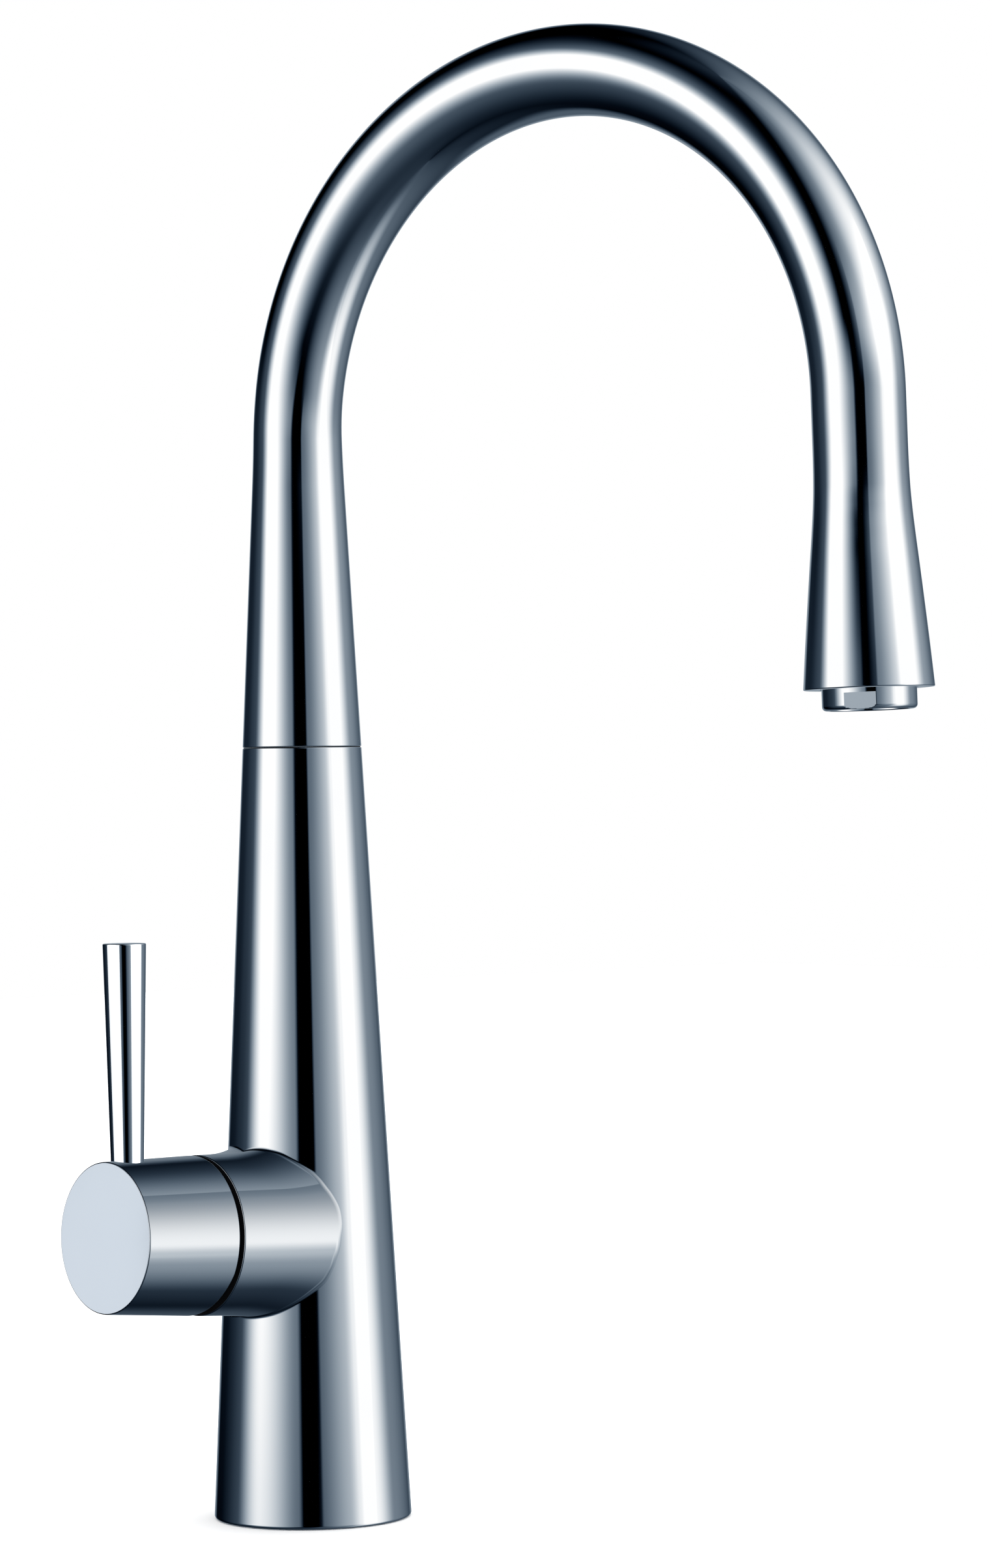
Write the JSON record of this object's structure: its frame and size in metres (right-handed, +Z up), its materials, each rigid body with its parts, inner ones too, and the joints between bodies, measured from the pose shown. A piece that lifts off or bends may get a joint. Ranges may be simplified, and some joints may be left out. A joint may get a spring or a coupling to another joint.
{
  "type": "pull down kitchen faucet",
  "caption": "Tall single-lever kitchen mixer tap with a tapered body, a high swivelling arch spout with a flared mouth, a side lever on a barrel, and a slim head that pulls down on a hose.",
  "frame": {"origin": "centre of the body's foot on the deck, at the top of the deck hole", "axes": "+Z up along the body axis, -Y towards the sink that the square spout points to, -X towards the lever"},
  "size_m": [0.1343, 0.2452, 0.5419],
  "materials": {
    "polished_chrome": "mirror-polished chrome plate",
    "brass": "turned brass",
    "steel": "zinc-plated and stainless steel",
    "black_rubber": "soft matt",
    "white_plastic": "moulded acetal",
    "black_plastic": "moulded acetal",
    "grey_plastic": "moulded acetal",
    "disc_ceramic": "lapped alumina",
    "hose_cover": "woven nylon over a flexible tube"
  },
  "bodies": {
    "base": {"base_body": "polished_chrome", "base_gasket": "black_rubber", "mounting_shank": "brass", "deck_gasket": "black_rubber", "deck_washer": "steel", "mounting_nut": "brass", "jack_screws": "steel", "glide_bush": "white_plastic", "thrust_washer": "black_plastic", "stop_screw": "steel", "cartridge_seals": "black_rubber", "cartridge_base": "white_plastic", "cartridge_housing": "white_plastic", "fixed_disc": "disc_ceramic", "cartridge_nut": "brass"},
    "rotor": {"cartridge_rotor": "grey_plastic", "stem_pin": "steel"},
    "slider": {"moving_disc": "disc_ceramic", "disc_carrier": "black_plastic"},
    "handle": {"lever_stem": "steel", "handle_barrel": "polished_chrome", "lever_pin": "polished_chrome", "barrel_set_screw": "steel", "set_screw_plug": "polished_chrome"},
    "spout": {"spout_tube": "polished_chrome", "swivel_spigot": "brass", "snap_ring": "steel", "hose_guide": "white_plastic", "dock_sleeve": "black_plastic", "spray_hose": "hose_cover", "hose_tail_fitting": "brass", "hose_leg": "hose_cover"},
    "handset": {"handset_shell": "polished_chrome", "aerator_housing": "polished_chrome", "aerator_insert": "grey_plastic", "aerator_gasket": "black_rubber", "check_valve": "black_plastic", "hose_nut": "brass", "hose_ferrule": "steel"}
  },
  "joints": [
    {"name": "spout_swivel", "type": "hinge", "parent": "base", "child": "spout", "pos_m": [0, 0, 0.228], "axis": [0, 0, 1], "range_deg": [-71.66, 48.34]},
    {"name": "head_pull", "type": "slide", "parent": "spout", "child": "handset", "axis": [0.0055, -0.0265, -0.9996], "range_m": [0, 0.2], "deforming": ["hose_leg"]},
    {"name": "handle_turn", "type": "hinge", "parent": "base", "child": "rotor", "pos_m": [-0.03596, 0, 0.08583], "axis": [-0.999, 0, 0.0454], "range_deg": [-50, 50]},
    {"name": "handle_lift", "type": "hinge", "parent": "rotor", "child": "handle", "pos_m": [-0.03596, 0, 0.08583], "axis": [0, -1, 0], "range_deg": [0, 8]},
    {"name": "disc_slide", "type": "slide", "parent": "rotor", "child": "slider", "axis": [0.0454, 0, 0.999], "range_m": [0, 0.00122]}
  ],
  "couplings": [
    {"joint": "disc_slide", "follows": "handle_lift", "m_per_rad": 0.0087}
  ]
}
